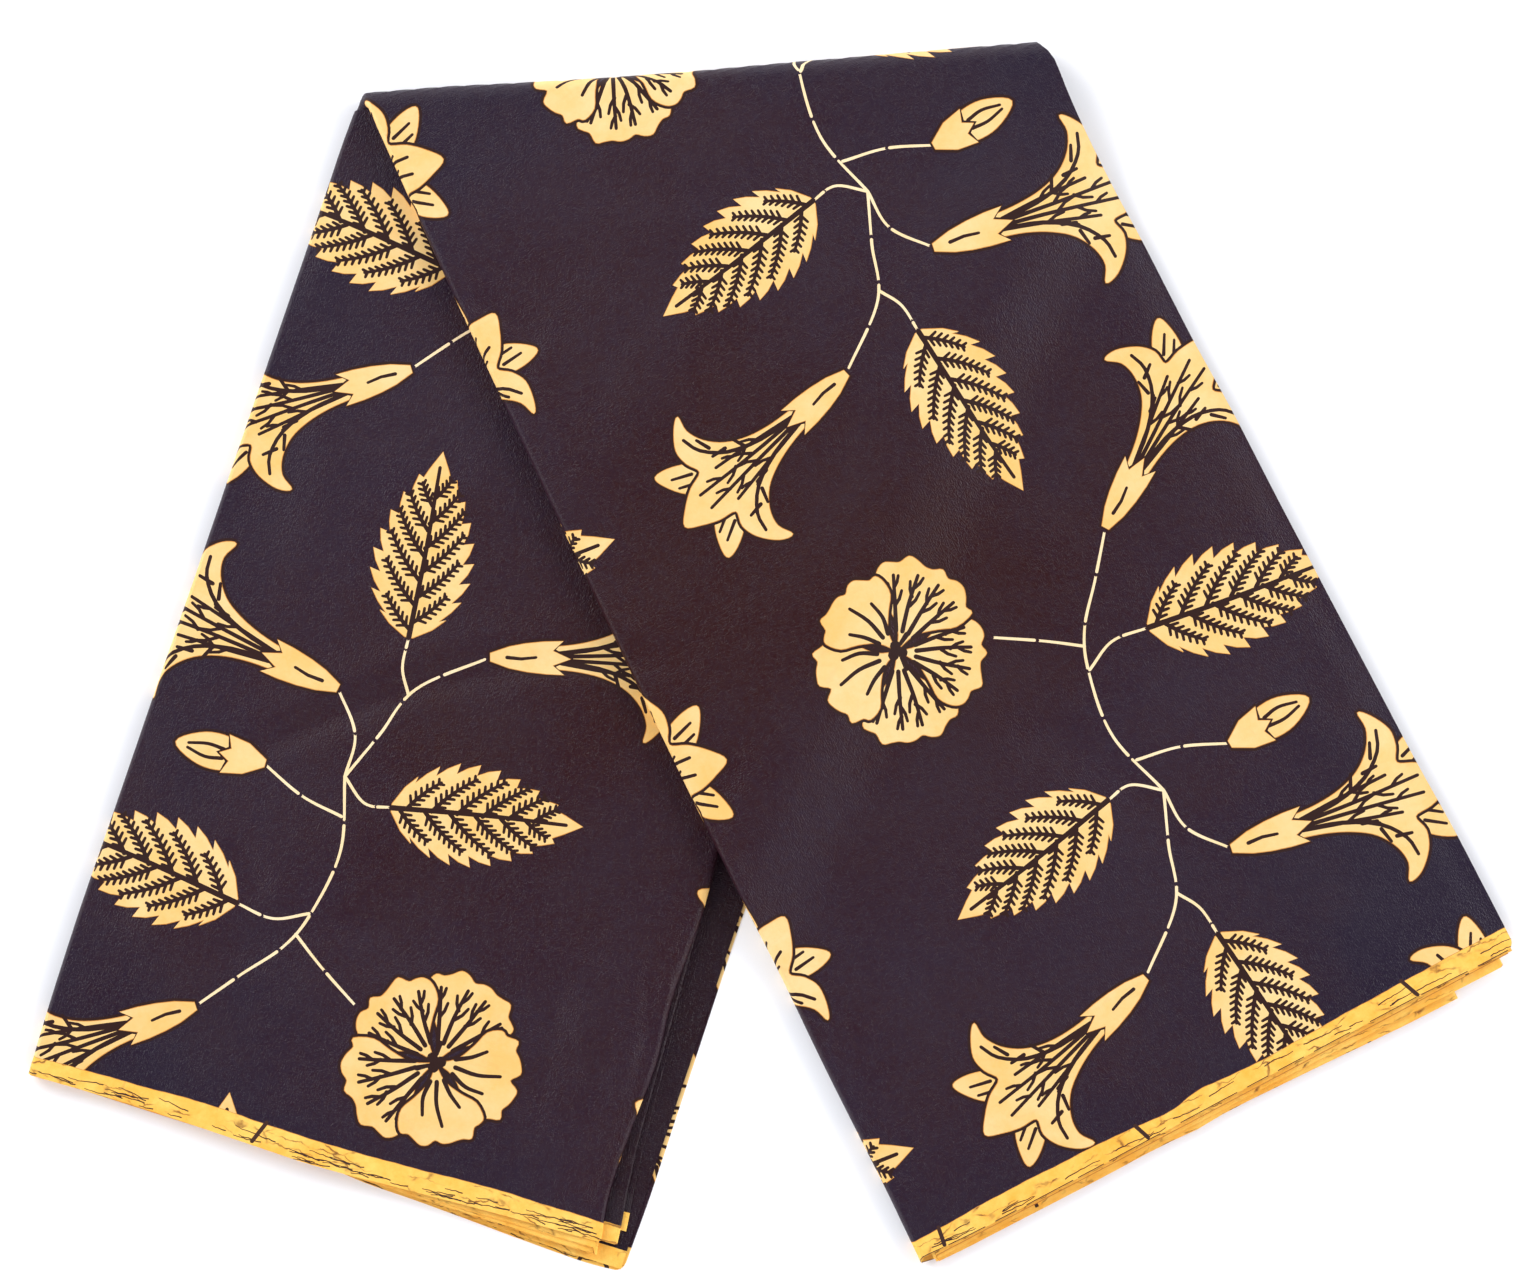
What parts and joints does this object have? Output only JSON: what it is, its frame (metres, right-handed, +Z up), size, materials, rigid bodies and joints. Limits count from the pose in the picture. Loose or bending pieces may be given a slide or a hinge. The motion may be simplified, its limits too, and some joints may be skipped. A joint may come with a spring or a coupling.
{
  "type": "folded bazin fabric",
  "caption": "Cut length of floral wax-printed damask cotton, folded lengthwise into a band and turned over a slanted fold to lie flat as a V, with yellow selvedge ends fanned at both legs.",
  "frame": {"origin": "on the table under the middle of the folded cloth's footprint", "axes": "+Z up from the table through the stack; +X from the left leg towards the right leg; +Y from the selvedge ends towards the slanted top fold"},
  "size_m": [0.7531, 0.6323, 0.0175],
  "materials": {
    "printed_cloth": "dark aubergine cotton damask with cream-yellow flowers and a soft satin sheen",
    "selvedge": "matt yellow selvedge cotton"
  },
  "bodies": {
    "root": {"left_leg_outer_ply": "printed_cloth", "left_leg_inner_plies": "printed_cloth", "left_end_selvedges": "selvedge", "right_leg_outer_ply": "printed_cloth", "right_leg_inner_plies": "printed_cloth", "right_end_selvedges": "selvedge", "top_fold_outer_ply": "printed_cloth", "top_fold_inner_plies": "printed_cloth"}
  },
  "joints": []
}
